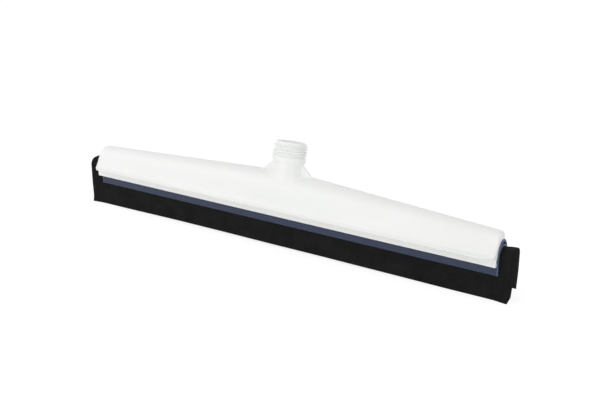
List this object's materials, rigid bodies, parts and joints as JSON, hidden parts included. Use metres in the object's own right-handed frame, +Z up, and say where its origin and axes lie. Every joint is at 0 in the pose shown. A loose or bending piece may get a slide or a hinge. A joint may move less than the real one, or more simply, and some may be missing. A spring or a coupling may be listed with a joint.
{
  "type": "floor squeegee head",
  "caption": "Floor squeegee head with a domed white frame, a threaded neck for a handle and a slide-in cassette that grips a folded black cellular rubber blade.",
  "frame": {"origin": "on the neck's axis where the handle's thread starts, just above the collar", "axes": "+X along the blade, -Y is the wiping front, +Z up; the neck's axis leans 15 degrees back from +Z towards +Y"},
  "size_m": [0.502, 0.0533, 0.1092],
  "materials": {
    "white_polypropylene": "moulded, soft gloss",
    "blue_polypropylene": "extruded, translucent",
    "black_cellular_rubber": "fine-celled, matt"
  },
  "bodies": {
    "head": {"frame": "white_polypropylene"},
    "cassette": {"cassette_holder": "blue_polypropylene", "foam_blade": "black_cellular_rubber"}
  },
  "joints": [
    {"name": "cassette_slide", "type": "slide", "parent": "head", "child": "cassette", "axis": [1, 0, 0], "range_m": [0, 0.5]}
  ]
}
